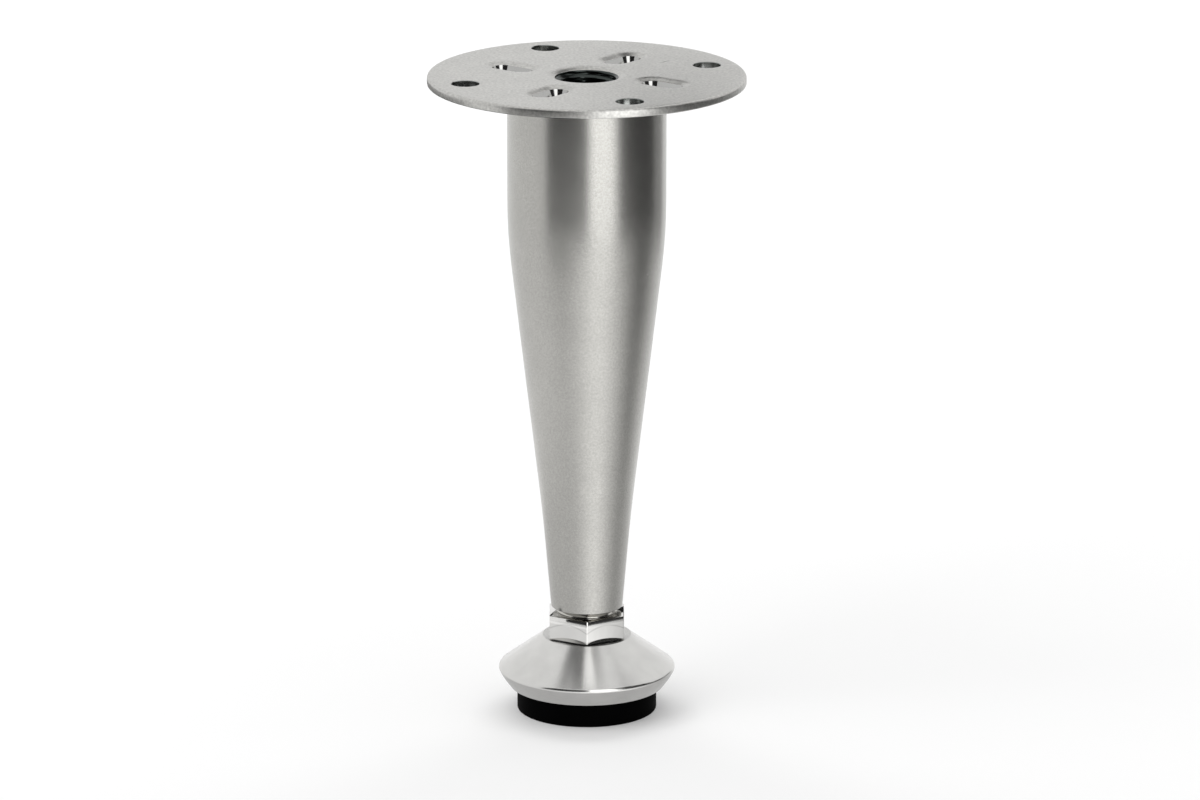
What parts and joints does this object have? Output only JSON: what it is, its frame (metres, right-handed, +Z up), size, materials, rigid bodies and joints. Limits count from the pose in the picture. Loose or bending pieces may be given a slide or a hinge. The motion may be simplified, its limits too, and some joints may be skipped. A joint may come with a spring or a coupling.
{
  "type": "metal sofa leg",
  "caption": "Tapered metal furniture leg with a round mounting plate, a tapped central collar and an adjustable foot with a lock nut and a rubber pad.",
  "frame": {"origin": "on the floor, at the centre of the rubber pad's underside", "axes": "+Z up along the leg to the mounting plate, -Y towards the front corner of the lock nut"},
  "size_m": [0.08, 0.08, 0.166],
  "materials": {
    "satin_plate": "matt satin nickel",
    "satin_tube": "satin nickel",
    "turned_steel": "turned, bright",
    "zinc_steel": "bright zinc plated",
    "polished_chrome": "polished",
    "satin_chrome": "finely turned and plated",
    "black_rubber": "matt"
  },
  "bodies": {
    "root": {"mounting_plate": "satin_plate", "leg_tube": "satin_tube", "threaded_bush": "turned_steel"},
    "foot": {"foot_base": "satin_chrome", "rubber_pad": "black_rubber"},
    "spindle": {"adjusting_spindle": "zinc_steel", "retaining_washer": "zinc_steel"},
    "nut": {"lock_nut": "polished_chrome"}
  },
  "joints": [
    {"name": "foot_height", "type": "slide", "parent": "root", "child": "foot", "axis": [0, 0, -1], "range_m": [0, 0.014]},
    {"name": "spindle_turn", "type": "hinge", "parent": "foot", "child": "spindle", "pos_m": [0, 0, 0.03], "axis": [0, 0, -1], "range_deg": [0, 2880]},
    {"name": "nut_turn", "type": "hinge", "parent": "root", "child": "nut", "pos_m": [0, 0, 0.0228], "axis": [0, 0, -1], "range_deg": [0, 360]}
  ],
  "couplings": [
    {"joint": "spindle_turn", "follows": "foot_height", "rad_per_m": 3590.4}
  ]
}
